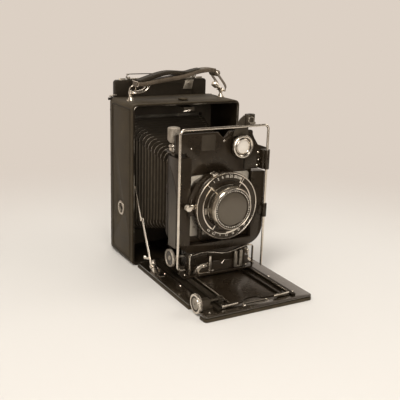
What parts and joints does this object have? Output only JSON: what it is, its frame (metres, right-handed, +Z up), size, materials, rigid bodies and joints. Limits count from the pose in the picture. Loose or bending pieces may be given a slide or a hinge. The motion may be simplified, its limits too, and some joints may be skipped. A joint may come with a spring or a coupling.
{
  "type": "folding plate camera",
  "caption": "Folding plate camera with a drop bed on struts, racked focusing track, rising and shifting lens standard, rim-set shutter, bellows and a plate holder with dark slide.",
  "frame": {"origin": "mouth of the tripod bush in the underside, at mid width and mid depth of the body", "axes": "+X to the right seen from the front, the lens looks along -Y, +Z up"},
  "size_m": [0.1112, 0.1952, 0.1778],
  "materials": {
    "black_leather": "grained, matt",
    "strap_leather": "worn, satin",
    "black_enamel": "glossy black enamel",
    "body_enamel": "satin black enamel",
    "nickel": "bright nickel plate",
    "dull_steel": "brushed",
    "bellows_leather": "matt pleated",
    "blackened_steel": "matt blackened",
    "optical_glass": "polished, faintly coated",
    "plate_glass": "coated on one side"
  },
  "bodies": {
    "camera body": {"body_shell": "body_enamel", "body_leather": "black_leather", "opening_rim": "nickel", "picture_gate": "blackened_steel", "back_frame": "body_enamel", "tripod_bushes": "nickel", "strap_posts": "nickel", "body_hinge": "nickel", "bellows": "bellows_leather"},
    "bed release": {"bed_release_button": "black_leather", "bed_catch": "nickel"},
    "plate holder": {"plate_holder": "body_enamel", "glass_plate": "plate_glass"},
    "holder latch": {"holder_latch": "nickel"},
    "dark slide": {"dark_slide": "dull_steel"},
    "bail": {"dark_slide_bail": "nickel"},
    "strap": {"strap_leather": "strap_leather", "strap_fittings": "nickel"},
    "bed": {"bed_board": "black_leather", "bed_liner": "black_enamel", "bed_hinge": "nickel", "track_guides": "blackened_steel", "bed_fittings": "nickel", "focus_bearing": "blackened_steel"},
    "upper strut left": {"strut_upper_left": "nickel"},
    "upper strut right": {"strut_upper_right": "nickel"},
    "lower strut left": {"strut_lower_left": "nickel"},
    "lower strut right": {"strut_lower_right": "nickel"},
    "focusing track": {"track_plate": "black_enamel", "track_rails": "nickel", "focus_rack": "dull_steel"},
    "focusing drive": {"focus_knob": "nickel", "focus_pinion": "dull_steel"},
    "carriage": {"carriage_base": "black_enamel", "pull_handle": "nickel"},
    "grip left": {"grip_left": "nickel"},
    "grip right": {"grip_right": "nickel"},
    "standard": {"standard_frame": "black_enamel", "standard_back": "black_enamel", "standard_foot": "black_enamel"},
    "shift knob": {"shift_knob": "nickel"},
    "lens board": {"lens_board": "black_enamel", "frame_bracket": "black_enamel", "flange_plate": "dull_steel", "shutter_case": "black_enamel", "shutter_dial": "black_enamel", "lens_barrel": "dull_steel", "lens_glasses": "optical_glass", "rear_cell": "black_enamel", "shutter_blades": "blackened_steel", "iris_blades": "blackened_steel"},
    "rise knob": {"rise_knob": "nickel"},
    "speed ring": {"speed_ring": "nickel"},
    "aperture ring": {"aperture_ring": "black_enamel"},
    "cocking lever": {"cocking_lever": "nickel"},
    "release lever": {"release_lever": "nickel"},
    "wire frame": {"wire_frame": "nickel"},
    "finder": {"finder_housing": "black_enamel", "finder_lens": "optical_glass", "finder_level": "blackened_steel"}
  },
  "joints": [
    {"name": "bed_release_press", "type": "slide", "parent": "camera body", "child": "bed release", "axis": [0, 0, -1], "range_m": [0, 0.001], "stiffness_N_per_m": 300},
    {"name": "holder_slide", "type": "slide", "parent": "camera body", "child": "plate holder", "axis": [0, 0, 1], "range_m": [0, 0.12]},
    {"name": "holder_latch_turn", "type": "hinge", "parent": "plate holder", "child": "holder latch", "pos_m": [0.03, 0.0288, 0.161], "axis": [0, 1, 0], "range_deg": [0, 90]},
    {"name": "dark_slide_pull", "type": "slide", "parent": "plate holder", "child": "dark slide", "axis": [0, 0, 1], "range_m": [0, 0.11]},
    {"name": "bail_fold", "type": "hinge", "parent": "dark slide", "child": "bail", "pos_m": [0, 0.0301, 0.1667], "axis": [-1, 0, 0], "range_deg": [0, 75]},
    {"name": "strap_swing", "type": "hinge", "parent": "camera body", "child": "strap", "pos_m": [0, -0.0035, 0.157], "axis": [1, 0, 0], "range_deg": [-60, 60]},
    {"name": "bed_fold", "type": "hinge", "parent": "camera body", "child": "bed", "pos_m": [0, -0.0277, 0.002], "axis": [-1, 0, 0], "range_deg": [0, 10], "deforming": ["bellows"]},
    {"name": "upper_strut_left_fold", "type": "hinge", "parent": "camera body", "child": "upper strut left", "pos_m": [-0.0515, -0.0235, 0.075], "axis": [1, 0, 0], "range_deg": [0, 26.6]},
    {"name": "upper_strut_right_fold", "type": "hinge", "parent": "camera body", "child": "upper strut right", "pos_m": [0.0515, -0.0235, 0.075], "axis": [1, 0, 0], "range_deg": [0, 26.6]},
    {"name": "lower_strut_left_fold", "type": "hinge", "parent": "bed", "child": "lower strut left", "pos_m": [-0.0504, -0.0585, 0.0105], "axis": [-1, 0, 0], "range_deg": [0, 9.2]},
    {"name": "lower_strut_right_fold", "type": "hinge", "parent": "bed", "child": "lower strut right", "pos_m": [0.0504, -0.0585, 0.0105], "axis": [-1, 0, 0], "range_deg": [0, 9.2]},
    {"name": "track_focus", "type": "slide", "parent": "bed", "child": "focusing track", "axis": [0, -1, 0], "range_m": [0, 0.04], "deforming": ["bellows"]},
    {"name": "focus_knob_turn", "type": "hinge", "parent": "bed", "child": "focusing drive", "pos_m": [-0.0496, -0.1405, 0.00882], "axis": [-1, 0, 0], "range_deg": [0, 883]},
    {"name": "standard_slide", "type": "slide", "parent": "focusing track", "child": "carriage", "axis": [0, 1, 0], "range_m": [0, 0.015], "deforming": ["bellows"]},
    {"name": "grip_left_squeeze", "type": "slide", "parent": "carriage", "child": "grip left", "axis": [1, 0, 0], "range_m": [0, 0.003], "stiffness_N_per_m": 300},
    {"name": "grip_right_squeeze", "type": "slide", "parent": "carriage", "child": "grip right", "axis": [-1, 0, 0], "range_m": [0, 0.003], "stiffness_N_per_m": 300},
    {"name": "cross_shift", "type": "slide", "parent": "carriage", "child": "standard", "axis": [1, 0, 0], "range_m": [-0.005, 0.005], "deforming": ["bellows"]},
    {"name": "shift_knob_turn", "type": "hinge", "parent": "standard", "child": "shift knob", "pos_m": [-0.043, -0.0805, 0.0253], "axis": [1, 0, 0], "range_deg": [-905, 905]},
    {"name": "lens_rise", "type": "slide", "parent": "standard", "child": "lens board", "axis": [0, 0, 1], "range_m": [0, 0.012]},
    {"name": "rise_knob_turn", "type": "hinge", "parent": "lens board", "child": "rise knob", "pos_m": [-0.0395, -0.076, 0.13], "axis": [0, 0, 1], "range_deg": [0, 1085]},
    {"name": "speed_ring_turn", "type": "hinge", "parent": "lens board", "child": "speed ring", "pos_m": [0, -0.0985, 0.072], "axis": [0, 1, 0], "range_deg": [-135, 135]},
    {"name": "aperture_ring_turn", "type": "hinge", "parent": "lens board", "child": "aperture ring", "pos_m": [0, -0.0995, 0.072], "axis": [0, -1, 0], "range_deg": [-25, 100]},
    {"name": "cocking_lever_turn", "type": "hinge", "parent": "lens board", "child": "cocking lever", "pos_m": [0, -0.0955, 0.072], "axis": [0, -1, 0], "range_deg": [0, 40], "stiffness_Nm_per_rad": 0.02},
    {"name": "release_lever_press", "type": "hinge", "parent": "lens board", "child": "release lever", "pos_m": [-0.0295, -0.0955, 0.0733], "axis": [0, -1, 0], "range_deg": [0, 15], "stiffness_Nm_per_rad": 0.02},
    {"name": "wire_frame_swing", "type": "hinge", "parent": "lens board", "child": "wire frame", "pos_m": [0.0425, -0.0935, 0.078], "axis": [0, 0, 1], "range_deg": [0, 180]},
    {"name": "finder_swivel", "type": "hinge", "parent": "lens board", "child": "finder", "pos_m": [0.0188, -0.0875, 0.1203], "axis": [0, -1, 0], "range_deg": [0, 90]}
  ],
  "couplings": [
    {"joint": "upper_strut_left_fold", "follows": "bed_fold", "ratio": 2.646},
    {"joint": "upper_strut_right_fold", "follows": "bed_fold", "ratio": 2.646},
    {"joint": "lower_strut_left_fold", "follows": "bed_fold", "ratio": 0.9033},
    {"joint": "lower_strut_right_fold", "follows": "bed_fold", "ratio": 0.9033},
    {"joint": "focus_knob_turn", "follows": "track_focus", "rad_per_m": 384.62},
    {"joint": "shift_knob_turn", "follows": "cross_shift", "rad_per_m": 3141.6},
    {"joint": "rise_knob_turn", "follows": "lens_rise", "rad_per_m": 1570.8}
  ]
}
